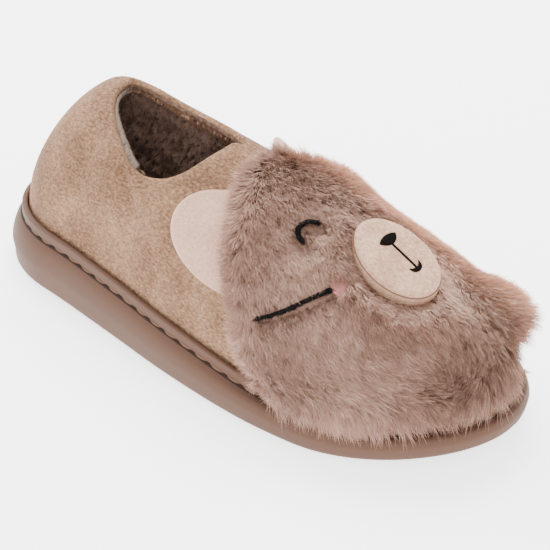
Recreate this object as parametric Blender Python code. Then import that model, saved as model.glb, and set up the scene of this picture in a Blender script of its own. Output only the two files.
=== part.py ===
"""A right house slipper with a bear's face on its vamp, in metres, +Z up.

The toe points along -Y, the lateral side is -X, and the sole stands on z = 0.
The origin is on the flat of the sole, midway between heel and toe.
"""

import math
from collections import namedtuple

import bmesh
import bpy
from mathutils import Vector

# Outsole
SOLE_LENGTH = 0.268
BALL_WIDTH = 0.108
HEEL_ROUND = 0.040          # how far the heel's round end runs forward
TOE_ROUND = 0.068           # how far the toe's round end runs back
SOLE_HEEL = 0.0295          # sole height at the heel, floor to rim
SOLE_BALL = 0.0200
SOLE_TOE = 0.0165
TOE_SPRING = 0.006          # how far the toe tip lifts off the floor
SPRING_START = 0.72         # share of the length where the toe starts to lift
RIM_INSET = 0.0045          # the rim stands this far in from the sole's widest line
RIM_WALL = 0.0024
RIM_ROUND = 0.0008
CUP_DEPTH = 0.0075          # rim down to the platform that the upper stands on
CHANNEL_DROP = 0.0052       # rim down to the stitch channel
CHANNEL_WIDTH = 0.0016
CHANNEL_DEPTH = 0.0011
EDGE_ROUND = 0.0065         # radius of the sole's lower edge
WIDEST_LIFT = 0.42          # where the side is widest, as a share of the sole's height

# Upper
WALL = 0.0042               # velour, foam and plush lining together
HEEL_HEIGHT = 0.096         # top of the collar at the back, above the floor
HEEL_RAKE = 0.040           # how far the back leans forward at its top
HEEL_CURVE = 1.8            # 1 leans evenly, more bends over towards the top
COLLAR_BACK = 0.049         # where the opening starts: the velour rolls over the heel's top to here
LATERAL_HEIGHT = 0.077      # collar at the sides
MEDIAL_HEIGHT = 0.0895
MEDIAL_REACH = 0.009        # the opening runs this much further forward on the medial side
MEDIAL_REACH_FROM = 0.62    # turn, from the heel, where that starts
INSTEP_HEIGHT = 0.092       # collar at the throat
THROAT = 0.123              # throat from the back of the sole
TOE_HEIGHT = 0.054          # top of the toe box, above the floor
TOE_CAP_ROUND = 0.034       # how far the toe's drop runs back
FIT_GAP = 0.0003            # between pieces that touch
UPPER_INSET = RIM_INSET + RIM_WALL + FIT_GAP

# Insole
INSOLE_THICK = 0.0055
INSOLE_GAP = 0.0010         # to the lining all round

# Fur vamp
PILE = 0.0096               # fur stands this far off the upper
PILE_TOE = 0.0125           # the same round the toe
PILE_TOE_FROM = 0.76        # share of the length where it starts to grow
PILE_PRESSED = 0.0042       # under the muzzle
PILE_CHEEK = 0.0070         # under the cheek
PILE_EDGE = 0.0038          # underside of the overhanging edge, off the upper
BACKING = 0.0008            # the backing cloth's gap to the upper, room for facets included
LOCK_RISE = 0.0024
LOCK_LEAN = 0.0034          # locks are combed away from the muzzle
TUFT_LONG = 0.0050          # the edge's locks, long and short in turn
TUFT_SHORT = 0.0020
RIM_TUFT_LONG = 0.0085      # the same where they hang over the sole's rim
RIM_TUFT_SHORT = 0.0060
MEDIAL_EDGE_RISE = 0.10     # climb that the fur's lower edge gains on the medial side of the toe
SPOKES = 64
RINGS = 11
BACK_RINGS = 7

# Ears
EAR_BASE = 0.039            # along the fur's edge
EAR_LENGTH = 0.0270
EAR_LEAN = 0.0060           # the round leans this far up the vamp
EAR_THICK = 0.0024
EAR_TILT = 0.0055           # how far the tip stands off the upper
EAR_CLEAR = 0.0014          # from the fur's edge
EAR_TURN = 0.745            # where the lateral ear's base is centred
EAR_SLANT = 0.50            # its base runs this far off square, in radians
EAR_TURN_MEDIAL = 0.775     # the medial one sits higher up the vamp
EAR_SLANT_MEDIAL = 0.50

# Muzzle and cheek
MUZZLE_LONG = 0.0425        # along the shoe
MUZZLE_WIDE = 0.0290
MUZZLE_TOP = 0.0140         # its face stands this far off the upper
MUZZLE_FROM_HEEL = 0.2105
MUZZLE_ASIDE = -0.0025      # lateral is negative
CHEEK_LONG = 0.0100
CHEEK_WIDE = 0.0080
CHEEK_THICK = 0.0018
CHEEK_FROM_HEEL = 0.2000
CHEEK_ASIDE = -0.0210       # lateral is negative
CHEEK_SEAT = 0.0058         # its underside, off the upper: it lies in a dip of the fur

SIDE_COLUMNS = 32           # columns round each side, heel to toe
OUTER_ROWS = 12
INNER_ROWS = 8

# share: of the sole's length, from the heel. middle: shift of the plan's middle line to the medial side.
# half: half width. ridge: shift of the highest line to the medial side. All three are shares of BALL_WIDTH.
# fullness: 2 is an elliptical section, more is squarer.
Section = namedtuple("Section", "share middle half ridge fullness")
SECTIONS = (
    Section(0.00, 0.000, 0.340, 0.150, 2.2),
    Section(0.15, -0.006, 0.352, 0.170, 2.3),
    Section(0.32, -0.034, 0.382, 0.110, 2.3),
    Section(0.48, -0.045, 0.430, 0.050, 2.2),
    Section(0.64, -0.024, 0.482, 0.045, 2.1),
    Section(0.76, 0.004, 0.496, 0.050, 2.0),
    Section(0.88, 0.036, 0.490, 0.040, 2.05),
    Section(1.00, 0.062, 0.462, 0.020, 2.3),
)

# Height of the vamp's highest line above the floor.
Crest = namedtuple("Crest", "share height")
CRESTS = (
    Crest(0.00, 1.05 * INSTEP_HEIGHT),
    Crest(0.30, 1.02 * INSTEP_HEIGHT),
    Crest(THROAT / SOLE_LENGTH, INSTEP_HEIGHT),
    Crest(0.60, 0.905 * INSTEP_HEIGHT),
    Crest(0.80, 1.22 * TOE_HEIGHT),
    Crest(0.91, TOE_HEIGHT),
    Crest(1.00, 0.84 * TOE_HEIGHT),
)

# Sole height between heel and toe, with the named heights as rows.
Layer = namedtuple("Layer", "share height")
LAYERS = (
    Layer(0.00, SOLE_HEEL),
    Layer(0.22, SOLE_HEEL),
    Layer(0.50, 0.55 * SOLE_HEEL + 0.45 * SOLE_BALL),
    Layer(0.72, SOLE_BALL),
    Layer(1.00, SOLE_TOE),
)

# Collar height between heel and throat: shares of the heel's, the quarter's and the throat's own heights.
Collar = namedtuple("Collar", "share heel quarter throat")
COLLAR = (
    Collar(0.00, 1.00, 0.00, 0.00),
    Collar(0.22, 0.55, 0.45, 0.00),
    Collar(0.50, 0.00, 1.00, 0.00),
    Collar(0.72, 0.00, 0.90, 0.10),
    Collar(0.88, 0.00, 0.55, 0.45),
    Collar(1.00, 0.00, 0.00, 1.00),
)


# Edge of the lateral half of the fur: turn round the upper and climb up it. The medial half is its mirror.
FurEdge = namedtuple("FurEdge", "share turn climb")
FUR_EDGE = (
    FurEdge(0.00, 1.000, 0.925),
    FurEdge(0.07, 0.912, 0.912),
    FurEdge(0.14, 0.838, 0.865),
    FurEdge(0.22, 0.752, 0.770),
    FurEdge(0.30, 0.690, 0.632),
    FurEdge(0.40, 0.645, 0.385),
    FurEdge(0.47, 0.645, 0.215),
    FurEdge(0.53, 0.675, 0.115),
    FurEdge(0.60, 0.725, 0.095),
    FurEdge(1.00, 1.000, 0.110),
)


def follow(rows, column, share):
    """Value of a table's column at a share, on a smooth curve through its rows."""
    at = [row[0] for row in rows]
    value = [getattr(row, column) for row in rows]
    k = max(i for i in range(len(rows) - 1) if i == 0 or share >= at[i])

    def slope(i):
        low, high = max(i - 1, 0), min(i + 1, len(rows) - 1)
        return (value[high] - value[low]) / (at[high] - at[low])

    span = at[k + 1] - at[k]
    t = (share - at[k]) / span
    rise = (value[k + 1] - value[k]) / span
    ease = t * (1 - t) * span
    return (value[k] + rise * t * span
            + ease * ((1 - t) * (slope(k) - rise) - t * (slope(k + 1) - rise)))


def round_end(distance, reach, power=2.0):
    """0 at the end of a rounded form and 1 from reach onwards, along a quarter of an ellipse."""
    left = 1 - min(max(distance / reach, 0.0), 1.0)
    return (1 - left ** power) ** (1 / power)


def spring(share):
    """How far the underside is off the floor."""
    t = max(0.0, share - SPRING_START) / (1 - SPRING_START)
    return TOE_SPRING * t ** 2


def rim_height(share):
    return spring(share) + follow(LAYERS, "height", share)


def feather_height(share):
    """Where the upper's lower edge stands, inside the sole's rim."""
    return rim_height(share) - CUP_DEPTH + FIT_GAP


def plan(share, inset):
    """(lateral x, medial x, y) of the sole's outline, moved inwards by inset."""
    length = SOLE_LENGTH - 2 * inset
    along = share * length
    half = BALL_WIDTH * follow(SECTIONS, "half", share) - inset
    half *= round_end(along, HEEL_ROUND) * round_end(length - along, TOE_ROUND)
    middle = BALL_WIDTH * follow(SECTIONS, "middle", share)
    return middle - half, middle + half, length / 2 - along


def where(y):
    """(share, distance from the heel) of the upper's outline at a place along the shoe."""
    length = SOLE_LENGTH - 2 * UPPER_INSET
    along = length / 2 - y
    return min(max(along / length, 0.0), 1.0), along


def even_shares(count):
    """Shares from heel to toe that lie evenly round the outline, the same for both sides."""
    fine = 2000
    shares = [(1 - math.cos(math.pi * i / fine)) / 2 for i in range(fine + 1)]
    walked = [0.0]
    for a, b in zip(shares, shares[1:]):
        (l0, m0, y0), (l1, m1, y1) = plan(a, 0.0), plan(b, 0.0)
        walked.append(walked[-1] + math.hypot((m1 - l1 - m0 + l0) / 2, y1 - y0))
    found, k = [], 0
    for i in range(count + 1):
        while walked[k] < walked[-1] * i / count - 1e-9:
            k += 1
        found.append(shares[k])
    return found


def crest_height(share):
    """Height of the last's highest line: the heel's back curve and the vamp's, whichever is lower."""
    floor = feather_height(share)
    along = share * SOLE_LENGTH
    back = (HEEL_HEIGHT - floor) * max(along / HEEL_RAKE, 0.0) ** (1 / HEEL_CURVE)
    front = (follow(CRESTS, "height", share) - floor) * round_end(SOLE_LENGTH - along, TOE_CAP_ROUND, 2.3)
    if min(back, front) < 1e-6:
        return floor
    return floor + (back ** -10 + front ** -10) ** -0.1


def last_height(x, y):
    """Height of the upper's outer surface over a point of the floor plan."""
    share, along = where(y)
    lateral, medial, _ = plan(share, UPPER_INSET)
    ridge = (lateral + medial) / 2 + follow(SECTIONS, "ridge", share) * (medial - lateral)
    reach = lateral - ridge if x < ridge else medial - ridge
    power = follow(SECTIONS, "fullness", share)
    out = min(abs((x - ridge) / reach), 1.0) if abs(reach) > 1e-9 else 1.0
    floor = feather_height(share)
    return floor + (crest_height(share) - floor) * (1 - out ** power) ** (1 / power)


def collar_spot(turn):
    """Plan position of the collar, and how far up the section's arch it is, as an angle."""
    side = turn if turn <= 1 else 2 - turn
    p = (1 - math.cos(math.pi * side)) / 2
    share = (COLLAR_BACK + (THROAT - COLLAR_BACK) * p) / SOLE_LENGTH
    if turn > 1:
        w = max(side - MEDIAL_REACH_FROM, 0.0) / (1 - MEDIAL_REACH_FROM)
        share += MEDIAL_REACH * math.sin(math.pi * w) ** 2 / SOLE_LENGTH
    quarter = LATERAL_HEIGHT if turn <= 1 else MEDIAL_HEIGHT
    height = (follow(COLLAR, "heel", p) * crest_height(COLLAR_BACK / SOLE_LENGTH)
              + follow(COLLAR, "quarter", p) * quarter
              + follow(COLLAR, "throat", p) * crest_height(share))
    lateral, medial, y = plan(share, UPPER_INSET)
    ridge = (lateral + medial) / 2 + follow(SECTIONS, "ridge", share) * (medial - lateral)
    floor = feather_height(share)
    power = follow(SECTIONS, "fullness", share)
    part = 1.0 if side in (0, 1) else min((height - floor) / (crest_height(share) - floor), 1.0)
    edge = lateral if turn <= 1 else medial
    x = ridge + (edge - ridge) * (1 - part ** power) ** (1 / power)
    return x, y, math.asin(part ** (power / 2))


FEATHER_SHARES = even_shares(SIDE_COLUMNS)


def feather_share(turn):
    k = min(int(turn * SIDE_COLUMNS), SIDE_COLUMNS - 1)
    t = turn * SIDE_COLUMNS - k
    return FEATHER_SHARES[k] * (1 - t) + FEATHER_SHARES[k + 1] * t


def upper_spot(turn, climb):
    """Plan position on the upper. turn goes 0 to 1 along the lateral side, heel to toe, and on to 2 back
    along the medial side. climb goes from 0 at the sole to 1 at the collar."""
    lateral, medial, y = plan(feather_share(turn if turn <= 1 else 2 - turn), UPPER_INSET)
    x = lateral if turn <= 1 else medial
    collar_x, collar_y, angle = collar_spot(turn)
    gone = (1 - math.cos(angle * climb) ** 0.9) / (1 - math.cos(angle) ** 0.9)
    return x + (collar_x - x) * gone, y + (collar_y - y) * gone


def upper_point(turn, climb, lift=0.0):
    """A point lift above the upper's outer surface."""
    turn %= 2

    def on(turn, climb):
        x, y = upper_spot(turn % 2, climb)
        return Vector((x, y, last_height(x, y)))

    point = on(turn, climb)
    if lift == 0:
        return point
    step = 0.004
    up = on(turn, min(climb + step, 1.0)) - on(turn, max(climb - step, 0.0))
    across = on(turn + step, climb) - on(turn - step, climb)
    return point + across.cross(up).normalized() * lift


Frame = namedtuple("Frame", "origin across along out")


def frame_on(x, y):
    """A frame on the upper's outer surface, for a pad."""
    step = 0.002
    across = Vector((2 * step, 0, last_height(x + step, y) - last_height(x - step, y))).normalized()
    along = Vector((0, -2 * step, last_height(x, y - step) - last_height(x, y + step))).normalized()
    out = along.cross(across).normalized()
    if out.z < 0:
        out = -out
    return Frame(Vector((x, y, last_height(x, y))), across, along, out)


def surface_drop(frame, u, v):
    """How far the upper lies below the frame's plane at (u, v)."""
    low, high = -0.004, 0.030
    for _ in range(30):
        drop = (low + high) / 2
        point = frame.origin + frame.across * u + frame.along * v - frame.out * drop
        if point.z > last_height(point.x, point.y):
            low = drop
        else:
            high = drop
    return low


def pad_distance(frame, wide, long, point):
    """1 on a pad's outline, less inside it."""
    off = point - frame.origin
    return math.hypot(off.dot(frame.across) / (wide / 2), off.dot(frame.along) / (long / 2))


def fur_edge(share):
    """(turn, climb) of the fur's edge. share goes 0 to 1 down the lateral half, from back to toe, and on to
    2 up the medial half."""
    half = share if share <= 1 else 2 - share
    turn, climb = follow(FUR_EDGE, "turn", half), follow(FUR_EDGE, "climb", half)
    if half > 0.5:
        climb = max(climb, rim_climb(turn))
        if share > 1:
            climb += MEDIAL_EDGE_RISE * min((1 - half) / 0.06, (half - 0.5) / 0.12, 1.0)
    return (turn if share <= 1 else 2 - turn), climb


def rim_climb(turn):
    """How far up the upper the fur clears the sole's rim."""
    share = feather_share(turn)
    clear = rim_height(share) + 0.0009
    low, high = 0.0, 0.5
    for _ in range(30):
        climb = (low + high) / 2
        if upper_point(turn, climb).z < clear:
            low = climb
        else:
            high = climb
    return high


def closed_mesh(name, points, faces):
    """A new object from points and faces, with its normals pointing out."""
    mesh = bpy.data.meshes.new(name)
    mesh.from_pydata(points, [], faces)
    work = bmesh.new()
    work.from_mesh(mesh)
    bmesh.ops.recalc_face_normals(work, faces=work.faces[:])
    work.to_mesh(mesh)
    work.free()
    mesh.shade_smooth()
    obj = bpy.data.objects.new(name, mesh)
    PARTS.objects.link(obj)
    return obj


def loft(rings, wrap):
    """Skins rings of points that each close on themselves. With wrap the last ring joins the first."""
    count = len(rings[0])
    points = [p for ring in rings for p in ring]
    faces = []
    for r in range(len(rings) if wrap else len(rings) - 1):
        a, b = r * count, (r + 1) % len(rings) * count
        for i in range(count):
            j = (i + 1) % count
            faces.append((a + i, a + j, b + j, b + i))
    return points, faces


def turns():
    """The columns' turns, once round from the heel."""
    return [i / SIDE_COLUMNS for i in range(2 * SIDE_COLUMNS)]


def make_upper():
    rings = []
    for row in range(OUTER_ROWS + 1):
        rings.append([upper_point(t, row / OUTER_ROWS) for t in turns()])
    for lift in (-0.25 * WALL, -0.75 * WALL):
        swell = 0.30 * WALL
        top = [upper_point(t, 1.0, lift) for t in turns()]
        below = [upper_point(t, 0.96, lift) for t in turns()]
        rings.append([a + (a - b).normalized() * swell for a, b in zip(top, below)])
    for row in range(INNER_ROWS, -1, -1):
        rings.append([upper_point(t, row / INNER_ROWS, -WALL) for t in turns()])
    return closed_mesh("upper", *loft(rings, wrap=True))


def sole_side():
    """The sole's side from its rim down: inset, height above the underside as a share, and metres added."""
    outer = RIM_INSET
    return (
        (RIM_INSET + RIM_WALL, 1.0, -CUP_DEPTH),
        (RIM_INSET + RIM_WALL, 1.0, -RIM_ROUND),
        (RIM_INSET + RIM_WALL - RIM_ROUND, 1.0, 0.0),
        (outer + RIM_ROUND * 0.6, 1.0, 0.0),
        (outer, 1.0, -RIM_ROUND),
        (outer - 0.0002, 1.0, -CHANNEL_DROP + CHANNEL_WIDTH / 2),
        (outer + CHANNEL_DEPTH, 1.0, -CHANNEL_DROP),
        (outer - 0.0010, 1.0, -CHANNEL_DROP - CHANNEL_WIDTH / 2),
        (0.0008, 0.60, 0.0),
        (0.0, WIDEST_LIFT, 0.0),
        (0.0006, 0.27, 0.0),
        (0.30 * EDGE_ROUND, 0.0, 0.30 * EDGE_ROUND),
        (EDGE_ROUND, 0.0, 0.0),
    )


def make_outsole():
    shares = FEATHER_SHARES + FEATHER_SHARES[-2:0:-1]
    rings = []
    for inset, part, drop in sole_side():
        ring = []
        for i, share in enumerate(shares):
            lateral, medial, y = plan(share, inset)
            low = spring(share)
            z = low + part * (rim_height(share) - low) + drop
            ring.append(Vector((lateral if i <= SIDE_COLUMNS else medial, y, z)))
        rings.append(ring)
    points, faces = loft(rings, wrap=False)
    count = len(shares)
    faces += strips(0, count) + strips(len(points) - count, count)
    return closed_mesh("outsole", points, faces)


def strips(start, count):
    """Faces that close a ring of points across from one side to the other."""
    half = count // 2
    faces = []
    for i in range(half):
        corners = (start + i, start + i + 1, start + count - i - 1, start + (count - i) % count)
        faces.append(tuple(dict.fromkeys(corners)))
    return faces


def make_insole():
    rings = []
    for inset, rise in ((0.0, 0.0), (0.0, 0.55), (0.0010, 0.86), (0.0030, 1.0)):
        ring = []
        for turn in turns():
            share = feather_share(turn if turn <= 1 else 2 - turn)
            point = upper_point(turn, 0.0, -WALL - INSOLE_GAP - inset)
            point.z = rim_height(share) - CUP_DEPTH + FIT_GAP + rise * INSOLE_THICK
            ring.append(point)
        rings.append(ring)
    points, faces = loft(rings, wrap=False)
    count = len(rings[0])
    return closed_mesh("insole", points, faces + strips(0, count) + strips(len(points) - count, count))


def even_fur_shares():
    """Shares along the fur's edge, evenly spaced on the shoe."""
    fine = 400
    spots = [upper_point(*fur_edge(2 * i / fine)) for i in range(fine + 1)]
    walked = [0.0]
    for a, b in zip(spots, spots[1:]):
        walked.append(walked[-1] + (b - a).length)
    found, k = [], 0
    for i in range(SPOKES):
        while walked[k] < walked[-1] * i / SPOKES - 1e-9:
            k += 1
        found.append(2 * k / fine)
    return found


def pile_at(point):
    """How far the fur stands off the upper, from a point on the upper."""
    along = (SOLE_LENGTH / 2 - point.y) / SOLE_LENGTH
    grown = min(max((along - PILE_TOE_FROM) / (1 - PILE_TOE_FROM), 0.0), 1.0)
    pile = PILE + (PILE_TOE - PILE) * grown

    def pressed(frame, wide, long, height, reach):
        share = min(max((reach - pad_distance(frame, wide, long, point)) / 0.4, 0.0), 1.0)
        return pile + (height - pile) * share

    return min(pressed(MUZZLE_FRAME, MUZZLE_WIDE, MUZZLE_LONG, PILE_PRESSED, 1.75),
               pressed(CHEEK_FRAME, CHEEK_WIDE, CHEEK_LONG, PILE_CHEEK, 2.2))


def make_fur():
    centre = (0.982, 0.590)
    edges = [fur_edge(share) for share in even_fur_shares()]

    def spot(edge, out, lift):
        turn = centre[0] + (edge[0] - centre[0]) * out
        climb = centre[1] + (edge[1] - centre[1]) * out
        return upper_point(turn, climb, lift)

    points = [upper_point(*centre, PILE_PRESSED)]
    for k in range(1, RINGS + 1):
        out = 0.97 * k / RINGS
        for edge in edges:
            points.append(spot(edge, out, pile_at(spot(edge, out, 0.0))))
    for i, edge in enumerate(edges):
        lift = pile_at(spot(edge, 1.0, 0.0)) * 0.86
        tip = spot(edge, 1.0, lift)
        hang = (tip - spot(edge, 0.95, lift)).normalized()
        low = min(max((0.34 - edge[1]) / 0.12, 0.0), 1.0)
        long = TUFT_LONG + (RIM_TUFT_LONG - TUFT_LONG) * low
        short = TUFT_SHORT + (RIM_TUFT_SHORT - TUFT_SHORT) * low
        points.append(tip + hang * (long if i % 2 else short))
    for lift in (PILE_EDGE, BACKING):
        points.extend(spot(edge, 1.0, lift) for edge in edges)
    for k in range(BACK_RINGS, 0, -1):
        points.extend(spot(edge, k / (BACK_RINGS + 1), BACKING) for edge in edges)
    points.append(upper_point(*centre, BACKING))

    faces, locks = [], []
    for i in range(SPOKES):
        j = (i + 1) % SPOKES
        faces.append((0, 1 + i, 1 + j))
        last = len(points) - 1
        faces.append((last, last - SPOKES + j, last - SPOKES + i))
    for r in range((len(points) - 2) // SPOKES - 1):
        a, b = 1 + r * SPOKES, 1 + (r + 1) * SPOKES
        for i in range(SPOKES):
            j = (i + 1) % SPOKES
            if 0 < r < RINGS - 1 and (r + i) % 2 == 0:
                locks.append(len(faces))
            faces.append((a + i, b + i, b + j, a + j))
    return points, faces, locks


def comb_locks(points, faces, locks):
    """Raises the chosen faces into locks that lean away from the muzzle."""
    for index in locks:
        corners = [points[i] for i in faces[index]]
        middle = sum(corners, Vector()) / 4
        lean = ((corners[1] + corners[2]) - (corners[0] + corners[3])).normalized()
        normal = (corners[2] - corners[0]).cross(corners[3] - corners[1]).normalized()
        if normal.dot(middle - Vector((0, middle.y, 0))) < 0:
            normal = -normal
        if pad_distance(MUZZLE_FRAME, MUZZLE_WIDE, MUZZLE_LONG, middle) < 1.7:
            continue
        if pad_distance(CHEEK_FRAME, CHEEK_WIDE, CHEEK_LONG, middle) < 1.9:
            continue
        a, b, c, d = faces[index]
        tip = len(points)
        points.append(middle + normal * LOCK_RISE + lean * LOCK_LEAN)
        faces[index] = (a, b, tip)
        faces.extend(((b, c, tip), (c, d, tip), (d, a, tip)))


def make_fur_vamp():
    points, faces, locks = make_fur()
    comb_locks(points, faces, locks)
    return closed_mesh("fur_vamp", points, faces)


def ear_base(centre):
    """Shares along the fur's edge at the middle of an ear's base, and for each metre of it."""
    base = min((i / 400 for i in range(160)), key=lambda share: abs(fur_edge(share)[0] - centre))
    step = 0.02
    run = (upper_point(*fur_edge(base + step)) - upper_point(*fur_edge(base - step))).length
    return base, 2 * step / run


def make_ear(name, mirror):
    """A half-round of cloth. Its base follows the fur's edge, and its outline lies in a flat frame."""
    columns, rows = 14, 5
    middle, per_metre = ear_base(EAR_TURN_MEDIAL if mirror else EAR_TURN)
    slant = EAR_SLANT_MEDIAL if mirror else EAR_SLANT
    side = -1 if mirror else 1

    def on_edge(share):
        turn, climb = fur_edge(share)
        return upper_point(2 - turn if mirror else turn, climb)

    centre = on_edge(middle)
    frame = frame_on(centre.x, centre.y)
    up = (side * math.cos(slant), -math.sin(slant))
    away = (-side * math.sin(slant), -math.cos(slant))

    def spot(j, v, lift):
        angle = math.pi * (0.03 + 0.94 * j / columns)
        along = EAR_BASE / 2 * math.cos(angle) + EAR_LEAN * math.sin(angle)
        out = EAR_LENGTH * math.sin(angle)
        root = on_edge(middle - EAR_BASE / 2 * math.cos(angle) * per_metre) - centre
        u0 = root.dot(frame.across) + away[0] * EAR_CLEAR
        v0 = root.dot(frame.along) + away[1] * EAR_CLEAR
        u = u0 + (up[0] * along + away[0] * (out + EAR_CLEAR) - u0) * v
        w = v0 + (up[1] * along + away[1] * (out + EAR_CLEAR) - v0) * v
        point = frame.origin + frame.across * u + frame.along * w - frame.out * surface_drop(frame, u, w)
        return point + frame_on(point.x, point.y).out * lift

    def sheet(top):
        points = []
        for j in range(columns + 1):
            high = math.sin(math.pi * (0.03 + 0.94 * j / columns))
            for i in range(rows + 1):
                v = i / rows
                edge = i in (0, rows) or j in (0, columns)
                lift = FIT_GAP * 2 + EAR_TILT * (v * high) ** 1.4
                if top:
                    lift += EAR_THICK * (0.72 if edge else 1.0)
                points.append(spot(j, v, lift))
        return points

    bottom, top = sheet(False), sheet(True)
    count = len(bottom)
    faces = []
    stride = rows + 1
    for j in range(columns):
        for i in range(rows):
            a = j * stride + i
            faces.append((a, a + 1, a + stride + 1, a + stride))
            faces.append((count + a, count + a + stride, count + a + stride + 1, count + a + 1))
    rim = ([j * stride for j in range(columns + 1)] + [columns * stride + i for i in range(1, stride)]
           + [j * stride + rows for j in range(columns - 1, -1, -1)] + list(range(rows - 1, 0, -1)))
    for a, b in zip(rim, rim[1:] + rim[:1]):
        faces.append((a, b, count + b, count + a))
    return closed_mesh(name, bottom + top, faces)


def make_pad(name, frame, wide, long, levels, around):
    """An oval pad. levels rows: (share of the half widths, height off the upper, share of its curve kept)."""
    rings = []
    for share, height, kept in levels:
        ring = []
        for i in range(around):
            a = 2 * math.pi * i / around
            u, v = wide / 2 * share * math.cos(a), long / 2 * share * math.sin(a)
            rise = height - surface_drop(frame, u, v) * kept
            ring.append(frame.origin + frame.across * u + frame.along * v + frame.out * rise)
        rings.append(ring)
    points, faces = loft(rings, wrap=False)
    points.append(frame.origin + frame.out * levels[0][1])
    points.append(frame.origin + frame.out * levels[-1][1])
    under, over = len(points) - 2, len(points) - 1
    last = (len(rings) - 1) * around
    for i in range(around):
        j = (i + 1) % around
        faces.append((under, j, i))
        faces.append((over, last + i, last + j))
    return closed_mesh(name, points, faces)


def make_muzzle():
    low = PILE_PRESSED + FIT_GAP * 2
    levels = ((0.50, low, 1.0), (0.86, low, 1.0), (0.96, low + 0.0006, 1.0), (1.0, low + 0.0026, 0.9),
              (1.0, MUZZLE_TOP - 0.0034, 0.6), (0.96, MUZZLE_TOP - 0.0014, 0.5),
              (0.87, MUZZLE_TOP - 0.0004, 0.5), (0.50, MUZZLE_TOP, 0.5))
    return make_pad("muzzle", MUZZLE_FRAME, MUZZLE_WIDE, MUZZLE_LONG, levels, 28)


def make_cheek():
    low = CHEEK_SEAT
    levels = ((0.60, low, 1.0), (1.0, low + 0.0005, 1.0), (0.90, low + 0.80 * CHEEK_THICK, 1.0),
              (0.5, low + CHEEK_THICK, 1.0))
    return make_pad("cheek", CHEEK_FRAME, CHEEK_WIDE, CHEEK_LONG, levels, 14)


def coat(obj, colour, roughness):
    material = bpy.data.materials.new(obj.name)
    material.use_nodes = True
    shader = material.node_tree.nodes["Principled BSDF"]
    shader.inputs["Base Color"].default_value = (*colour, 1)
    shader.inputs["Roughness"].default_value = roughness
    material.diffuse_color = (*colour, 1)
    obj.data.materials.append(material)


def clear_scene():
    for obj in list(bpy.data.objects):
        bpy.data.objects.remove(obj)


clear_scene()
PARTS = bpy.data.collections.new("house_slipper")
bpy.context.scene.collection.children.link(PARTS)
MUZZLE_FRAME = frame_on(MUZZLE_ASIDE, SOLE_LENGTH / 2 - MUZZLE_FROM_HEEL)
CHEEK_FRAME = frame_on(CHEEK_ASIDE, SOLE_LENGTH / 2 - CHEEK_FROM_HEEL)
coat(make_outsole(), (0.30, 0.20, 0.15), 0.6)
coat(make_insole(), (0.08, 0.05, 0.04), 0.9)
coat(make_upper(), (0.52, 0.38, 0.28), 0.85)
coat(make_fur_vamp(), (0.40, 0.26, 0.21), 0.95)
coat(make_ear("ear_lateral", False), (0.72, 0.52, 0.47), 0.85)
coat(make_ear("ear_medial", True), (0.72, 0.52, 0.47), 0.85)
coat(make_muzzle(), (0.72, 0.58, 0.47), 0.85)
coat(make_cheek(), (0.85, 0.50, 0.50), 0.8)
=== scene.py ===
# A house slipper with a sleeping bear's face: the looks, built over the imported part.
# Metres. The toe points along -Y, the lateral side is -X, and the sole stands on z = 0.
# turn runs 0 to 1 round the lateral side, heel to toe, and on to 2 back along the medial side.
# climb runs from 0 at the sole to 1 at the collar.

import math

import bmesh
import bpy
import numpy as np
from mathutils import Matrix, Vector


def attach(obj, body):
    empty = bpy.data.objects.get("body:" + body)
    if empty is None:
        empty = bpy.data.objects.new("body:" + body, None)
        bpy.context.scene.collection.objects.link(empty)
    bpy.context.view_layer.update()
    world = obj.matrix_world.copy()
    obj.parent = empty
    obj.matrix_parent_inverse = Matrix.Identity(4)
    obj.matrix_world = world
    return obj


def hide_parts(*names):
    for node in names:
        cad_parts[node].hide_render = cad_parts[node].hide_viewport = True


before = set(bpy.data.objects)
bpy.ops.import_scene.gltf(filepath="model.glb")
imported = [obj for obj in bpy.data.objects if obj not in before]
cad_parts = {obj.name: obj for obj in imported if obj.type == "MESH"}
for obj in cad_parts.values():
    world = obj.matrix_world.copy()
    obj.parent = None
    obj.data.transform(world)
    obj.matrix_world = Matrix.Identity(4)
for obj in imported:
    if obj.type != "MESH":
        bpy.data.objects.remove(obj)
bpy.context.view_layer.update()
random = np.random.default_rng(7)

shoe = dict(
    length=0.268, ballWidth=0.108, heelRound=0.040, toeRound=0.068,
    soleHeel=0.0295, soleBall=0.0200, soleToe=0.0165, toeSpring=0.006, springStart=0.72,
    rimInset=0.0045, rimWall=0.0024, cupDepth=0.0075, fitGap=0.0003,
    wall=0.0042, heelHeight=0.096, heelRake=0.040, heelCurve=1.8,
    collarBack=0.049, lateralHeight=0.077, medialHeight=0.0895, medialReach=0.009, medialReachFrom=0.62,
    instepHeight=0.092, throat=0.123, toeHeight=0.054, toeCapRound=0.034,
)
shoe["upperInset"] = shoe["rimInset"] + shoe["rimWall"] + shoe["fitGap"]

# share of the length, then middle, half width and ridge as shares of the ball width,
# and the section's fullness
sections = (
    (0.00, 0.000, 0.340, 0.150, 2.2),
    (0.15, -0.006, 0.352, 0.170, 2.3),
    (0.32, -0.034, 0.382, 0.110, 2.3),
    (0.48, -0.045, 0.430, 0.050, 2.2),
    (0.64, -0.024, 0.482, 0.045, 2.1),
    (0.76, 0.004, 0.496, 0.050, 2.0),
    (0.88, 0.036, 0.490, 0.040, 2.05),
    (1.00, 0.062, 0.462, 0.020, 2.3),
)
middle, half, ridgeShift, fullness = 1, 2, 3, 4

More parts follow.
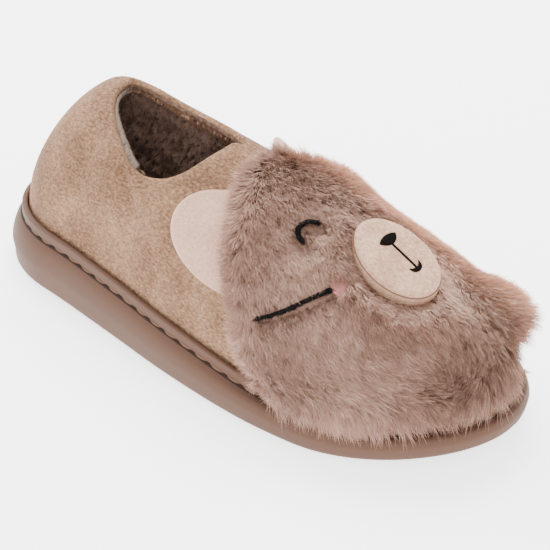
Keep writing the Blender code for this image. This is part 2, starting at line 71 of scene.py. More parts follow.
# share, height of the vamp's highest line
crests = (
    (0.00, 1.05 * shoe["instepHeight"]),
    (0.30, 1.02 * shoe["instepHeight"]),
    (shoe["throat"] / shoe["length"], shoe["instepHeight"]),
    (0.60, 0.905 * shoe["instepHeight"]),
    (0.80, 1.22 * shoe["toeHeight"]),
    (0.91, shoe["toeHeight"]),
    (1.00, 0.84 * shoe["toeHeight"]),
)
# share, height of the sole
layers = (
    (0.00, shoe["soleHeel"]),
    (0.22, shoe["soleHeel"]),
    (0.50, 0.55 * shoe["soleHeel"] + 0.45 * shoe["soleBall"]),
    (0.72, shoe["soleBall"]),
    (1.00, shoe["soleToe"]),
)
# share from heel to throat, then how much of the heel's, quarter's and throat's height the collar has
collarRows = (
    (0.00, 1.00, 0.00, 0.00),
    (0.22, 0.55, 0.45, 0.00),
    (0.50, 0.00, 1.00, 0.00),
    (0.72, 0.00, 0.90, 0.10),
    (0.88, 0.00, 0.55, 0.45),
    (1.00, 0.00, 0.00, 1.00),
)
# share down the lateral half of the fur's edge, then turn and climb
furEdgeRows = (
    (0.00, 1.000, 0.925),
    (0.07, 0.912, 0.912),
    (0.14, 0.838, 0.865),
    (0.22, 0.752, 0.770),
    (0.30, 0.690, 0.632),
    (0.40, 0.645, 0.385),
    (0.47, 0.645, 0.215),
    (0.53, 0.675, 0.115),
    (0.60, 0.725, 0.095),
    (1.00, 1.000, 0.110),
)
medialEdgeRise = 0.10  # climb that the fur's lower edge gains on the medial side of the toe


def follow(rows, column, share):
    # a smooth curve through a table's rows
    table = np.array(rows, float)
    at, value = table[:, 0], table[:, column]
    last = len(at) - 1
    high = np.minimum(np.arange(last + 1) + 1, last)
    low = np.maximum(np.arange(last + 1) - 1, 0)
    slope = (value[high] - value[low]) / (at[high] - at[low])
    k = np.clip(np.searchsorted(at, share, side="right") - 1, 0, last - 1)
    span = at[k + 1] - at[k]
    t = (share - at[k]) / span
    rise = (value[k + 1] - value[k]) / span
    ease = t * (1 - t) * span
    return value[k] + rise * t * span + ease * ((1 - t) * (slope[k] - rise) - t * (slope[k + 1] - rise))


def ramp(value, start, end):
    t = np.clip((value - start) / (end - start), 0, 1)
    return t * t * (3 - 2 * t)


def unit(v):
    return v / np.maximum(np.linalg.norm(v, axis=-1, keepdims=True), 1e-12)


def stack(x, y, z):
    return np.stack(np.broadcast_arrays(x, y, z), axis=-1).astype(float)


def roundEnd(distance, reach, power=2.0):
    left = 1 - np.clip(distance / reach, 0, 1)
    return (1 - left ** power) ** (1 / power)


def spring(share):
    t = np.maximum(0, share - shoe["springStart"]) / (1 - shoe["springStart"])
    return shoe["toeSpring"] * t ** 2


def rimHeight(share):
    return spring(share) + follow(layers, 1, share)


def featherHeight(share):
    return rimHeight(share) - shoe["cupDepth"] + shoe["fitGap"]


def plan(share, inset):
    # lateral x, medial x and y of the sole's outline, moved inwards
    long = shoe["length"] - 2 * inset
    along = share * long
    wide = shoe["ballWidth"] * follow(sections, half, share) - inset
    wide = wide * roundEnd(along, shoe["heelRound"]) * roundEnd(long - along, shoe["toeRound"])
    mid = shoe["ballWidth"] * follow(sections, middle, share)
    return mid - wide, mid + wide, long / 2 - along


def evenShares(count):
    fine = 2000
    share = (1 - np.cos(np.pi * np.arange(fine + 1) / fine)) / 2
    lateral, medial, y = plan(share, 0.0)
    step = np.hypot(np.diff(medial - lateral) / 2, np.diff(y))
    walked = np.concatenate(([0.0], np.cumsum(step)))
    found = np.searchsorted(walked, walked[-1] * np.arange(count + 1) / count - 1e-9)
    return share[found]


sideColumns = 32
featherShares = evenShares(sideColumns)


def featherShare(side):
    return np.interp(side, np.arange(sideColumns + 1) / sideColumns, featherShares)


def crestHeight(share):
    floor = featherHeight(share)
    along = share * shoe["length"]
    back = (shoe["heelHeight"] - floor) * np.maximum(along / shoe["heelRake"], 0) ** (1 / shoe["heelCurve"])
    front = (follow(crests, 1, share) - floor) * roundEnd(shoe["length"] - along, shoe["toeCapRound"], 2.3)
    low = np.minimum(back, front)
    blend = (np.maximum(back, 1e-6) ** -10 + np.maximum(front, 1e-6) ** -10) ** -0.1
    return floor + np.where(low < 1e-6, 0, blend)


def lastHeight(x, y):
    long = shoe["length"] - 2 * shoe["upperInset"]
    share = np.clip((long / 2 - y) / long, 0, 1)
    lateral, medial, _ = plan(share, shoe["upperInset"])
    ridge = (lateral + medial) / 2 + follow(sections, ridgeShift, share) * (medial - lateral)
    reach = np.where(x < ridge, lateral - ridge, medial - ridge)
    reach = np.where(np.abs(reach) < 1e-9, 1e-9, reach)
    power = follow(sections, fullness, share)
    out = np.clip(np.abs((x - ridge) / reach), 0, 1)
    floor = featherHeight(share)
    return floor + (crestHeight(share) - floor) * (1 - out ** power) ** (1 / power)


def collarSpot(turn):
    side = np.where(turn <= 1, turn, 2 - turn)
    p = (1 - np.cos(np.pi * side)) / 2
    share = (shoe["collarBack"] + (shoe["throat"] - shoe["collarBack"]) * p) / shoe["length"]
    w = np.maximum(side - shoe["medialReachFrom"], 0) / (1 - shoe["medialReachFrom"])
    share = share + np.where(turn > 1, shoe["medialReach"] * np.sin(math.pi * w) ** 2 / shoe["length"], 0)
    quarter = np.where(turn <= 1, shoe["lateralHeight"], shoe["medialHeight"])
    height = (follow(collarRows, 1, p) * crestHeight(shoe["collarBack"] / shoe["length"])
              + follow(collarRows, 2, p) * quarter
              + follow(collarRows, 3, p) * crestHeight(share))
    lateral, medial, y = plan(share, shoe["upperInset"])
    ridge = (lateral + medial) / 2 + follow(sections, ridgeShift, share) * (medial - lateral)
    floor = featherHeight(share)
    power = follow(sections, fullness, share)
    part = np.clip((height - floor) / (crestHeight(share) - floor), 0, 1)
    part = np.where((side <= 0) | (side >= 1), 1.0, part)
    edge = np.where(turn <= 1, lateral, medial)
    x = ridge + (edge - ridge) * (1 - part ** power) ** (1 / power)
    return x, y, np.arcsin(part ** (power / 2))


def onUpper(turn, climb):
    turn = np.mod(turn, 2)
    lateral, medial, y = plan(featherShare(np.where(turn <= 1, turn, 2 - turn)), shoe["upperInset"])
    x = np.where(turn <= 1, lateral, medial)
    collarX, collarY, angle = collarSpot(turn)
    gone = (1 - np.abs(np.cos(angle * climb)) ** 0.9) / (1 - np.abs(np.cos(angle)) ** 0.9)
    x, y = x + (collarX - x) * gone, y + (collarY - y) * gone
    return stack(x, y, lastHeight(x, y))


def upperNormal(turn, climb):
    step = 0.004
    up = onUpper(turn, np.minimum(climb + step, 1)) - onUpper(turn, np.maximum(climb - step, 0))
    across = onUpper(turn + step, climb) - onUpper(turn - step, climb)
    return unit(np.cross(across, up))


def upperPoint(turn, climb, lift=0.0):
    turn, climb = np.broadcast_arrays(np.asarray(turn, float), np.asarray(climb, float))
    return onUpper(turn, climb) + upperNormal(turn, climb) * np.asarray(lift)[..., None]


def rimClimb(turn):
    # how far up the upper the fur clears the sole's rim
    clear = rimHeight(featherShare(np.where(turn <= 1, turn, 2 - turn))) + 0.0009
    low, high = np.zeros_like(turn), np.full_like(turn, 0.5)
    for _ in range(24):
        mid = (low + high) / 2
        under = onUpper(turn, mid)[..., 2] < clear
        low, high = np.where(under, mid, low), np.where(under, high, mid)
    return high


def furEdge(share):
    share = np.mod(share, 2)
    down = np.where(share <= 1, share, 2 - share)
    turn, climb = follow(furEdgeRows, 1, down), follow(furEdgeRows, 2, down)
    climb = np.where(down > 0.5, np.maximum(climb, rimClimb(turn)), climb)
    risen = np.minimum(np.minimum((1 - down) / 0.06, (down - 0.5) / 0.12), 1)
    climb = climb + np.where((down > 0.5) & (share > 1), medialEdgeRise * risen, 0)
    return np.where(share <= 1, turn, 2 - turn), climb


# A flat frame on the upper for each pad

def frameOn(x, y):
    step = 0.002
    across = unit(stack(2 * step, 0.0, lastHeight(x + step, y) - lastHeight(x - step, y)))
    along = unit(stack(0.0, -2 * step, lastHeight(x, y - step) - lastHeight(x, y + step)))
    out = unit(np.cross(along, across))
    out = out if out[2] > 0 else -out
    return dict(origin=stack(x, y, lastHeight(x, y)), across=across, along=along, out=out)


def onFrame(pad, u, v, rise):
    u, v, rise = np.broadcast_arrays(u, v, rise)
    return (pad["origin"] + pad["across"] * u[..., None] + pad["along"] * v[..., None]
            + pad["out"] * rise[..., None])


def surfaceDrop(pad, u, v):
    low, high = np.full(np.shape(u), -0.004), np.full(np.shape(u), 0.030)
    for _ in range(26):
        drop = (low + high) / 2
        point = onFrame(pad, u, v, -drop)
        above = point[..., 2] > lastHeight(point[..., 0], point[..., 1])
        low, high = np.where(above, drop, low), np.where(above, high, drop)
    return low


def heightNormal(point):
    # the last's own normal under a point
    x, y, step = point[..., 0], point[..., 1], 0.002
    slopeX = (lastHeight(x + step, y) - lastHeight(x - step, y)) / (2 * step)
    slopeY = (lastHeight(x, y + step) - lastHeight(x, y - step)) / (2 * step)
    return unit(stack(-slopeX, -slopeY, 1.0))


def padDistance(pad, wide, long, point):
    off = point - pad["origin"]
    return np.hypot(off @ pad["across"] / (wide / 2), off @ pad["along"] / (long / 2))


# Building

def tone(r, g, b):
    # a colour as a screen shows it, made linear
    return tuple(((c / 255 + 0.055) / 1.055) ** 2.4 if c > 10 else c / 255 / 12.92 for c in (r, g, b))


def keep(bm, name, material, stands=()):
    mesh = bpy.data.meshes.new(name)
    bm.to_mesh(mesh)
    bm.free()
    mesh.shade_smooth()
    return place(mesh, name, material, stands)


def place(mesh, name, material, stands=()):
    obj = bpy.data.objects.new(name, mesh)
    bpy.context.scene.collection.objects.link(obj)
    for one in material if isinstance(material, (list, tuple)) else [material]:
        mesh.materials.append(one)
    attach(obj, "root")
    if stands:
        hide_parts(*stands)
    print("made", name, len(mesh.polygons), "faces")
    return obj


def skin(bm, columns, rows, shape, kind=None):
    # a grid laid over a form: shape gives a point for each pair of shares
    made = bmesh.ops.create_grid(bm, x_segments=columns, y_segments=rows, size=0.5)["verts"]
    u = np.array([v.co.x for v in made]) + 0.5
    v = np.array([v.co.y for v in made]) + 0.5
    if kind is not None:
        for face in {f for vert in made for f in vert.link_faces}:
            face.material_index = kind(face.calc_center_median().y + 0.5)
    for vert, point in zip(made, shape(u, v)):
        vert.co = point
    return made


def weld(bm, gap=1e-5):
    bmesh.ops.remove_doubles(bm, verts=bm.verts[:], dist=gap)
    bmesh.ops.recalc_face_normals(bm, faces=bm.faces[:])


def rowsAt(rows, v):
    # columns of a profile, read at shares of the way down it
    table = np.array(rows, float)
    at = np.linspace(0, 1, len(table))
    return [np.interp(v, at, table[:, i]) for i in range(table.shape[1])]


# Materials

def newMaterial(name, colour, roughness, sheen=0.0, tint=None, specular=0.25):
    material = bpy.data.materials.new(name)
    material.use_nodes = True
    shader = material.node_tree.nodes["Principled BSDF"]
    shader.inputs["Base Color"].default_value = (*colour, 1)
    shader.inputs["Roughness"].default_value = roughness
    shader.inputs["Specular IOR Level"].default_value = specular
    shader.inputs["Sheen Weight"].default_value = sheen
    shader.inputs["Sheen Roughness"].default_value = 0.45
    if tint:
        shader.inputs["Sheen Tint"].default_value = (*tint, 1)
    return material, material.node_tree, shader


def noise(tree, scale, detail=3.0, stretch=(1, 1, 1), turned=(0, 0, 0)):
    spot = tree.nodes.new("ShaderNodeTexCoord")
    mapping = tree.nodes.new("ShaderNodeMapping")
    mapping.inputs["Scale"].default_value = stretch
    mapping.inputs["Rotation"].default_value = turned
    texture = tree.nodes.new("ShaderNodeTexNoise")
    texture.inputs["Scale"].default_value = scale
    texture.inputs["Detail"].default_value = detail
    tree.links.new(spot.outputs["Object"], mapping.inputs["Vector"])
    tree.links.new(mapping.outputs["Vector"], texture.inputs["Vector"])
    return texture.outputs["Fac"]


def blendColours(tree, factor, stops):
    band = tree.nodes.new("ShaderNodeValToRGB")
    while len(band.color_ramp.elements) < len(stops):
        band.color_ramp.elements.new(0.5)
    for element, (at, colour) in zip(band.color_ramp.elements, stops):
        element.position = at
        element.color = (*colour, 1)
    tree.links.new(factor, band.inputs["Fac"])
    return band.outputs["Color"]


def addUp(tree, first, second, share):
    mix = tree.nodes.new("ShaderNodeMix")
    mix.inputs["Factor"].default_value = share
    tree.links.new(first, mix.inputs["A"])
    tree.links.new(second, mix.inputs["B"])
    return mix.outputs["Result"]


def bump(tree, shader, height, depth, strength=1.0):
    node = tree.nodes.new("ShaderNodeBump")
    node.inputs["Strength"].default_value = strength
    node.inputs["Distance"].default_value = depth
    tree.links.new(height, node.inputs["Height"])
    tree.links.new(node.outputs["Normal"], shader.inputs["Normal"])


def clothMaterial(name, tones, grain, depth, sheen, patch=45, share=0.62):
    # slow patches and a fine pile, mixed before they are coloured
    dark, mid, light = (tone(*one) for one in tones)
    material, tree, shader = newMaterial(name, mid, 0.9, sheen, light)
    broad = noise(tree, patch, 3.0)
    fine = noise(tree, grain, 2.0, (1, 0.55, 1), (0.5, 0, 0.4))
    both = addUp(tree, broad, fine, share)
    stops = ((0.36, dark), (0.50, mid), (0.64, light))
    tree.links.new(blendColours(tree, both, stops), shader.inputs["Base Color"])
    bump(tree, shader, fine, depth)
    return material


def hairMaterial(name):
    material, tree, shader = newMaterial(name, (0.4, 0.3, 0.25), 0.8, specular=0.15)
    colour = tree.nodes.new("ShaderNodeAttribute")
    colour.attribute_name = "hair"
    tree.links.new(colour.outputs["Color"], shader.inputs["Base Color"])
    return material


velour = clothMaterial("velour", ((96, 68, 49), (128, 96, 72), (158, 124, 97)), 1100, 0.0006, 0.08)
plush = clothMaterial("dark plush", ((88, 66, 56), (112, 86, 74), (138, 110, 96)), 480, 0.0008, 0.05, 60)
facingCloth = clothMaterial("facing", ((74, 54, 42), (100, 76, 60), (126, 99, 80)), 700, 0.0006, 0.05, 60)
undercoat = clothMaterial("undercoat", ((130, 100, 86), (146, 114, 99), (162, 130, 114)),
                          700, 0.0006, 0.0, 90)
earCloth = clothMaterial("ear cloth", ((190, 150, 128), (202, 163, 141), (212, 175, 153)),
                         1300, 0.00015, 0.08, 60)
muzzleCloth = clothMaterial("muzzle velour", ((166, 128, 103), (187, 149, 123), (204, 168, 141)),
                            900, 0.00025, 0.08, 70)
pinkCloth = clothMaterial("pink cloth", ((214, 132, 130), (228, 152, 149), (238, 174, 168)), 900, 0.0003, 0.1)
fur = hairMaterial("fur")


def foamMaterial():
    material, tree, shader = newMaterial("foamed rubber", tone(86, 59, 44), 0.6)
    bump(tree, shader, noise(tree, 1400, 2.0), 0.00006)
    return material


foam = foamMaterial()
seamCloth = newMaterial("seam", tone(112, 80, 64), 0.9)[0]
# painted shade: the stitch channel's dark colour stands for the shadow in the groove under the thread
paintedChannelShade = newMaterial("channel", tone(50, 34, 26), 0.8)[0]
stitchThread = newMaterial("stitch thread", tone(118, 88, 68), 0.7)[0]
blackThread = newMaterial("black thread", tone(14, 12, 10), 0.9, specular=0.04)[0]

# Sole

sole = dict(columns=320, capRows=10, channelDrop=0.0052, channelWidth=0.0016, channelDepth=0.0011,
            edgeRound=0.0065, rimRound=0.0008, widestLift=0.42,
            stitchLength=0.0082, stitchPitch=0.0096, stitchRound=0.00058, channelRows=(8, 11))


def soleProfile():
    # rim to underside: inset, height above the underside as a share, and the drop below that
    inner = shoe["rimInset"] + shoe["rimWall"]
    outer, drop, lip = shoe["rimInset"], sole["channelDrop"], sole["channelWidth"] / 2
    rim, low = sole["rimRound"], sole["edgeRound"]
    deep = outer + sole["channelDepth"]
    rows = [(inner, 1, -shoe["cupDepth"]), (inner, 1, -rim),
            (inner - 0.3 * rim, 1, -0.3 * rim), (inner - rim, 1, 0),
            (outer + rim, 1, 0), (outer + 0.3 * rim, 1, -0.3 * rim), (outer, 1, -rim),
            (outer - 0.0002, 1, -drop + 1.3 * lip), (outer - 0.0001, 1, -drop + lip),
            (deep, 1, -drop + 0.2 * lip), (deep, 1, -drop - 0.4 * lip),
            (outer - 0.0007, 1, -drop - lip), (outer - 0.0012, 1, -drop - 1.6 * lip),
            (0.0019, 0.70, 0), (0.0008, 0.58, 0), (0.0002, 0.49, 0), (0.0, sole["widestLift"], 0),
            (0.0006, 0.27, 0)]
    for angle in np.radians(np.linspace(12, 90, 7)):
        inset = low * (1 - math.cos(angle)) * 0.9 + 0.0006 * math.cos(angle)
        rows.append((inset, 0, low * 0.72 * (1 - math.sin(angle))))
    return rows


def aroundSole(u, inset, part, drop):
    side = np.where(u <= 0.5, 2 * u, 2 - 2 * u)
    share = featherShare(side)
    lateral, medial, y = plan(share, inset)
    low = spring(share)
    return stack(np.where(u <= 0.5, lateral, medial), y, low + part * (rimHeight(share) - low) + drop)


def makeSole():
    rows = soleProfile()
    bm = bmesh.new()
    last = len(rows) - 1
    # rows in the channel get the painted shade of the groove
    first, end = sole["channelRows"]
    skin(bm, sole["columns"], last, lambda u, v: aroundSole(u, *rowsAt(rows, v)),
         lambda v: 1 if first < v * last < end else 0)

    def cap(row):
        inset, part, drop = row

        def shape(u, v):
            side = aroundSole(u / 2, inset, part, drop)
            far = aroundSole(1 - u / 2, inset, part, drop)
            return side + (far - side) * v[:, None]
        return shape

    skin(bm, sole["columns"] // 2, sole["capRows"], cap(rows[0]))
    skin(bm, sole["columns"] // 2, sole["capRows"], cap(rows[-1]))
    weld(bm, 3e-5)
    return keep(bm, "cupSole", [foam, paintedChannelShade], ["outsole"])


def makeSoleStitches():
    # one stitch a pitch, each sinking into the channel at its ends
    fine = np.linspace(0, 1, 4001)
    line = aroundSole(fine, shoe["rimInset"] + 0.35 * sole["channelDepth"], 1, -sole["channelDrop"])
    walked = np.concatenate(([0], np.cumsum(np.linalg.norm(np.diff(line, axis=0), axis=1))))
    count = int(walked[-1] / sole["stitchPitch"])
    pitch = walked[-1] / count

    def onLine(at):
        at = np.mod(at, walked[-1])
        return np.stack([np.interp(at, walked, line[:, k]) for k in range(3)], axis=-1)

    turned = Matrix.Rotation(math.radians(90), 3, "Y")
    bm = bmesh.new()
    for i in range(count):
        long = sole["stitchLength"] * random.uniform(0.93, 1.05)
        made = bmesh.ops.create_uvsphere(bm, u_segments=12, v_segments=6, radius=1.0)["verts"]
        bmesh.ops.rotate(bm, verts=made, cent=(0, 0, 0), matrix=turned)
        x, y, z = np.array([v.co for v in made]).T
        at = pitch * (i + 0.5) + x * long / 2
        spot = onLine(at)
        along = unit(onLine(at + 0.001) - spot)
        out = unit(np.cross(along, np.array([0, 0, 1.0])))
        sink = 0.0007 * x ** 2
        sag = random.uniform(0.0001, 0.0005) * (1 - x ** 2)
        thick = sole["stitchRound"] * (1 - x ** 4) ** 0.5 / np.maximum(np.sqrt(1 - x ** 2), 0.05)
        spot = spot + out * (y * thick - sink)[:, None]
        spot[:, 2] += z * thick - sag
        for vert, point in zip(made, spot):
            vert.co = point
    bmesh.ops.recalc_face_normals(bm, faces=bm.faces[:])
    return keep(bm, "soleStitches", stitchThread)


makeSole()
makeSoleStitches()

# Upper

upper = dict(columns=288, outerRows=64, rollRows=8, innerRows=30, rollShare=0.30, facing=0.83)

# Soft folds: turn, climb, half size along turn, half size along climb, lean, height (a trough is negative)
folds = (
    (0.46, 0.80, 0.050, 0.22, 0.25, 0.0011),
    (0.40, 0.72, 0.030, 0.20, 0.20, -0.0012),
    (0.31, 0.62, 0.040, 0.26, 0.15, 0.0009),
    (0.24, 0.70, 0.030, 0.22, 0.10, -0.0009),
    (0.12, 0.55, 0.060, 0.30, 0.05, 0.0006),
    (0.52, 0.52, 0.060, 0.10, -0.30, -0.0009),
    (0.57, 0.78, 0.035, 0.16, 0.40, -0.0010),
    (0.60, 0.30, 0.060, 0.12, 0.10, 0.0008),
    (0.36, 0.24, 0.100, 0.10, 0.00, -0.0006),
    (0.66, 0.92, 0.050, 0.09, 0.30, 0.0007),
    (1.52, 0.70, 0.050, 0.25, -0.20, 0.0010),
    (1.60, 0.60, 0.035, 0.25, -0.15, -0.0011),
    (1.72, 0.65, 0.045, 0.25, -0.10, 0.0008),
    (1.44, 0.40, 0.060, 0.14, 0.20, -0.0008),
    (1.86, 0.45, 0.060, 0.30, 0.00, -0.0006),
)


def foldLift(turn, climb):
    lift = np.zeros(np.shape(turn))
    for t0, c0, wideT, wideC, lean, height in folds:
        dt, dc = turn - t0, climb - c0
        lift = lift + height * np.exp(-((dt - lean * dc * 0.3) / wideT) ** 2 - (dc / wideC) ** 2)
    inward = -0.0010 * np.exp(-((climb - 0.955) / 0.018) ** 2) * ramp(climb, 0.90, 0.95)
    gather = 0.00025 * np.sin(turn * math.pi * 2 * 34) * ramp(climb, 0.12, 0.02)
    return lift * ramp(climb, 0.0, 0.12) * ramp(climb, 1.02, 0.93) + inward * 0.35 + gather


def upperShape(u, v):
    turn = np.mod(2 * u, 2)
    wall = shoe["wall"]
    total = upper["outerRows"] + upper["rollRows"] + upper["innerRows"]
    row = v * total
    outer = row <= upper["outerRows"] + 1e-6
    inner = row >= upper["outerRows"] + upper["rollRows"] - 1e-6
    climb = np.where(inner, (total - row) / upper["innerRows"], 1.0)
    climb = np.clip(np.where(outer, row / upper["outerRows"], climb), 0, 1)
    angle = np.clip((row - upper["outerRows"]) / upper["rollRows"], 0, 1) * math.pi
    lift = np.where(outer, foldLift(turn, climb), -wall / 2 * (1 - np.cos(angle)))
    point = upperPoint(turn, climb, lift)
    rim = unit(upperPoint(turn, np.full_like(turn, 1.0)) - upperPoint(turn, np.full_like(turn, 0.96)))
    return point + rim * (upper["rollShare"] * wall * np.sin(angle))[:, None]


def makeUpper():
    rows = upper["outerRows"] + upper["rollRows"] + upper["innerRows"]
    bm = bmesh.new()

    def cloth(v):
        # velour to the middle of the roll, the facing below it inside, then plush
        row = v * rows
        if row < upper["outerRows"] + upper["rollRows"] / 2:
            return 0
        return 2 if (rows - row) / upper["innerRows"] > upper["facing"] else 1

    skin(bm, upper["columns"], rows, upperShape, cloth)

    def foot(u, v):
        # closes the wall's lower edge
        turn = np.mod(2 * u, 2)
        return upperPoint(turn, np.zeros_like(turn), -shoe["wall"] * v)

    skin(bm, upper["columns"], 2, foot, lambda v: 1)
    weld(bm)
    return keep(bm, "upperVelour", [velour, plush, facingCloth], ["upper"])


makeUpper()


def insoleShape(u, v):
    inset, rise = rowsAt(((0.0, 0.0), (0.0, 0.5), (0.0006, 0.75), (0.0018, 0.93), (0.0034, 1.0)), v)
    turn = np.mod(2 * u, 2)
    share = featherShare(np.where(turn <= 1, turn, 2 - turn))
    point = upperPoint(turn, np.zeros_like(turn), -shoe["wall"] - 0.0010 - inset)
    point[:, 2] = rimHeight(share) - shoe["cupDepth"] + shoe["fitGap"] + rise * 0.0055
    return point


def makeInsole():
    bm = bmesh.new()
    skin(bm, 160, 8, insoleShape)

    def cap(height):
        def shape(u, v):
            near = insoleShape(u / 2, np.full_like(u, height))
            far = insoleShape(1 - u / 2, np.full_like(u, height))
            return near + (far - near) * v[:, None]
        return shape

    skin(bm, 80, 10, cap(1.0))
    skin(bm, 80, 10, cap(0.0))
    weld(bm, 3e-5)
    return keep(bm, "insolePlush", plush, ["insole"])


makeInsole()

# Hair of every kind

# shades: colour at a blade's root, middle and tip; the darker root is painted shade deep in the pile
hairShape = dict(gather=0.45, midRise=0.72, midReach=0.36, bendWidth=0.9, shades=(0.72, 0.94, 1.10))


def plant(name, base, up, lean, rise, reach, colour,
          perClump=12, spread=0.0007, width=0.00036, stray=0.22):
    # clumps of blades: base, up and lean are one row a clump
    n = len(base)
    rep = lambda a: np.repeat(a, perClump, axis=0)
    base, up, lean, rise, reach, colour = map(rep, (base, up, lean, rise, reach, colour))
    total = n * perClump
    lean = unit(lean + stray * random.normal(size=(total, 3)))
    lean = unit(lean - up * np.sum(lean * up, axis=1, keepdims=True))
    side = np.cross(lean, up)
    angle = random.uniform(0, 2 * math.pi, total)
    away = spread * np.sqrt(random.uniform(0, 1, total))
    offset = lean * (away * np.cos(angle))[:, None] + side * (away * np.sin(angle))[:, None]
    rise = (rise * random.uniform(0.82, 1.12, total))[:, None]
    reach = (reach * random.uniform(0.70, 1.22, total))[:, None]
    foot = base + offset
    bend = base + offset * 0.85 + up * rise * hairShape["midRise"] + lean * reach * hairShape["midReach"]
    end = base + offset * (1 - hairShape["gather"]) + up * rise + lean * reach
    roll = random.uniform(-0.7, 0.7, total)[:, None]
    flat = (side * np.cos(roll) + up * np.sin(roll)) * width / 2
    thin = flat * hairShape["bendWidth"]
    verts = np.stack([foot - flat, foot + flat, bend - thin, bend + thin, end], axis=1).reshape(-1, 3)
    start = np.arange(total) * 5
    quads = np.stack([start, start + 1, start + 3, start + 2], axis=1)
    tips = np.stack([start + 2, start + 3, start + 4], axis=1)
    mesh = bpy.data.meshes.new(name)
    mesh.from_pydata(verts.tolist(), [], quads.tolist() + tips.tolist())
    one = colour * random.uniform(0.88, 1.12, (total, 1))
    # painted shade: each blade's root is darkened as the shade deep in the pile, and its tip is lightened
    root, mid, tip = hairShape["shades"]
    shades = np.stack([one * root, one * root, one * mid, one * mid, one * tip], axis=1).reshape(-1, 3)
    shades = np.concatenate([np.clip(shades, 0, 1), np.ones((len(shades), 1))], axis=1)
    layer = mesh.color_attributes.new(name="hair", type="FLOAT_COLOR", domain="POINT")
    layer.data.foreach_set("color", shades.ravel())
    mesh.shade_smooth()
    return place(mesh, name, fur)


def mottle(points, size, seed):
    # slow light and dark patches, about -1 to 1
    draw = np.random.default_rng(seed)
    value = np.zeros(len(points))
    for _ in range(5):
        way = unit(draw.normal(size=3))
        wave = size * draw.uniform(0.6, 1.5)
        value += np.sin(points @ way * 2 * math.pi / wave + draw.uniform(0, 6.28))
    return value / 3


# Fur

coat = dict(pile=0.0096, pileToe=0.0125, toeFrom=0.76, pressed=0.0042, cheekPile=0.0070, backing=0.0008,
            centre=(0.982, 0.590), clumps=15200, edgeClumps=1300, reach=0.0060, edgeReach=0.0052,
            whorl=(-0.020, -0.119, 0.040), flow=(-0.50, -0.87, -0.15), frontFlow=(0.15, -1.0, 0.0),
            rimTuft=0.0060, wallExtra=0.0046, backExtra=0.0026, toeExtra=0.0080, farFlat=0.0024,
            # the last two entries: how strongly and how widely painted shade darkens the hair round the whorl
            whorlPaintedShade=1.3, whorlSize=0.015)
# where each change of the coat starts and where it is full
zone = dict(nearWall=(1.75, 1.15), nearSide=(0.012, 0.002), backOut=(0.55, 0.95), backClimb=(0.66, 0.86),
            farSide=(0.15, 0.60), farToe=(-0.086, -0.112), flatStart=(-0.024, -0.050),
            flatEnd=(-0.104, -0.086), frontClimb=(0.44, 0.22), frontSide=(0.1, -0.4), whorl=(0.042, 0.008),
            # the last two entries: how far hair must face the medial side to get painted light in its colour
            hang=(0.22, 0.11), paintedLightGain=(0.10, 0.65), paintedLightBlend=(-0.25, 0.55))
muzzle = dict(wide=0.0290, long=0.0425, top=0.0140, fromHeel=0.2105, aside=-0.0025, seam=(0.47, 0.57))
cheek = dict(wide=0.0080, long=0.0100, thick=0.0018, fromHeel=0.2000, aside=-0.0210, seat=0.0058)
muzzlePlane = frameOn(muzzle["aside"], shoe["length"] / 2 - muzzle["fromHeel"])
cheekPlane = frameOn(cheek["aside"], shoe["length"] / 2 - cheek["fromHeel"])

# Sewn lines, as turn and climb
eyeLine = ((0.871, 0.712), (0.873, 0.730), (0.882, 0.746), (0.896, 0.754), (0.911, 0.753), (0.924, 0.742))
longLine = ((0.709, 0.507), (0.733, 0.521), (0.757, 0.535), (0.780, 0.548), (0.803, 0.559), (0.830, 0.569),
            (0.856, 0.577))


def alongLine(line, count):
    table = np.array(line)
    at = np.linspace(0, 1, len(table))
    rows = np.column_stack([at, table])
    share = np.linspace(0, 1, count)
    return follow(rows, 1, share), follow(rows, 2, share)


def lineGap(points, line):
    turn, climb = alongLine(line, 60)
    on = upperPoint(turn, climb)
    return np.min(np.linalg.norm(points[:, None, :] - on[None, :, :], axis=2), axis=1)


def pileAt(point):
    along = (shoe["length"] / 2 - point[:, 1]) / shoe["length"]
    grown = np.clip((along - coat["toeFrom"]) / (1 - coat["toeFrom"]), 0, 1)
    pile = coat["pile"] + (coat["pileToe"] - coat["pile"]) * grown

    def pressed(plane, pad, height, reach):
        near = np.clip((reach - padDistance(plane, pad["wide"], pad["long"], point)) / 0.4, 0, 1)
        return pile + (height - pile) * near

    # the fur stands up to the muzzle on its near side and lies flatter beyond it
    beyond = ramp((point - muzzlePlane["origin"]) @ muzzlePlane["across"], -0.004, 0.010)
    return np.minimum(pressed(muzzlePlane, muzzle, coat["pressed"], 1.25 + 0.5 * beyond),
                      pressed(cheekPlane, cheek, coat["cheekPile"], 1.8))


def extraPile(base, up, out, climb):
    # taller hair against the muzzle's near wall, at the back's top and round the far side of the toe,
    # and flatter hair along the far side between them
    around = padDistance(muzzlePlane, muzzle["wide"], muzzle["long"], base)
    aside = (base - muzzlePlane["origin"]) @ muzzlePlane["across"]
    wall = ramp(around, *zone["nearWall"]) * ramp(aside, *zone["nearSide"])
    backTop = ramp(out, *zone["backOut"]) * ramp(climb, *zone["backClimb"])
    farSide = ramp(up[:, 0], *zone["farSide"])
    farToe = ramp(base[:, 1], *zone["farToe"]) * farSide
    flat = ramp(base[:, 1], *zone["flatStart"]) * ramp(base[:, 1], *zone["flatEnd"]) * farSide
    return (coat["wallExtra"] * wall + coat["backExtra"] * backTop + coat["toeExtra"] * farToe
            - coat["farFlat"] * flat)


def furSpot(share, out):
    turn, climb = furEdge(share)
    centre = coat["centre"]
    return centre[0] + (turn - centre[0]) * out, centre[1] + (climb - centre[1]) * out


def outwards(share, near, far):
    # the way off the patch, from one share of the way out to another
    return unit(upperPoint(*furSpot(share, far)) - upperPoint(*furSpot(share, near)))


